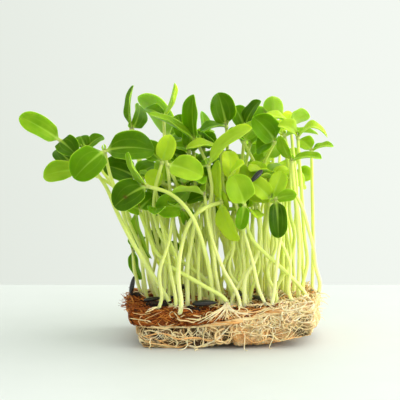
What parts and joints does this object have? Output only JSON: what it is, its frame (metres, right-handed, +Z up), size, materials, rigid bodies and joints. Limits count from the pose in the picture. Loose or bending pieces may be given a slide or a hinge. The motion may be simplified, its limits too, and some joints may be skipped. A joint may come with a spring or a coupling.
{
  "type": "sunflower microgreens",
  "caption": "Cut block of sunflower microgreens: a felted mat of pale roots under a layer of coir, with pale stems and paired green seed leaves standing in it.",
  "frame": {"origin": "middle of the flat underside of the root mat, at the level of the table", "axes": "+Z up; +X to the viewer's right along the block's long side; the front face looks along -Y"},
  "size_m": [0.1432, 0.0896, 0.1171],
  "materials": {
    "root_mat": "matte felt of fine cream and orange-tan roots",
    "coir": "loose reddish-brown fibre with dark soil",
    "seed_hull": "satin near-black shell with faint stripes",
    "sprout": "waxy green leaves on pale juicy stems"
  },
  "bodies": {
    "root": {"root_mat": "root_mat", "coir_layer": "coir", "hull_1": "seed_hull", "hull_2": "seed_hull", "hull_3": "seed_hull", "hull_4": "seed_hull", "hull_5": "seed_hull", "hull_6": "seed_hull", "hull_7": "seed_hull", "hull_8": "seed_hull", "sprout_01": "sprout", "sprout_02": "sprout", "sprout_03": "sprout", "sprout_04": "sprout", "sprout_05": "sprout", "sprout_07": "sprout", "sprout_08": "sprout", "sprout_10": "sprout", "sprout_11": "sprout", "sprout_12": "sprout", "sprout_13": "sprout", "sprout_14": "sprout", "sprout_16": "sprout", "sprout_17": "sprout", "sprout_18": "sprout", "sprout_20": "sprout", "sprout_21": "sprout", "sprout_25": "sprout", "sprout_26": "sprout", "sprout_27": "sprout", "sprout_29": "sprout", "sprout_30": "sprout", "sprout_31": "sprout", "sprout_32": "sprout", "sprout_33": "sprout", "sprout_34": "sprout", "sprout_35": "sprout", "sprout_37": "sprout", "sprout_42": "sprout", "sprout_53": "sprout", "sprout_54": "sprout", "sprout_55": "sprout", "sprout_56": "sprout", "sprout_57": "sprout", "sprout_58": "sprout", "sprout_59": "sprout", "sprout_60": "sprout", "sprouts_06_15": "sprout", "sprouts_09_51": "sprout", "sprouts_19_40_48": "sprout", "sprouts_22_28_43_46": "sprout", "sprouts_23_45": "sprout", "sprouts_24_49": "sprout", "sprouts_36_50": "sprout", "sprouts_38_47": "sprout", "sprouts_39_52": "sprout", "sprouts_41_44": "sprout"}
  },
  "joints": []
}
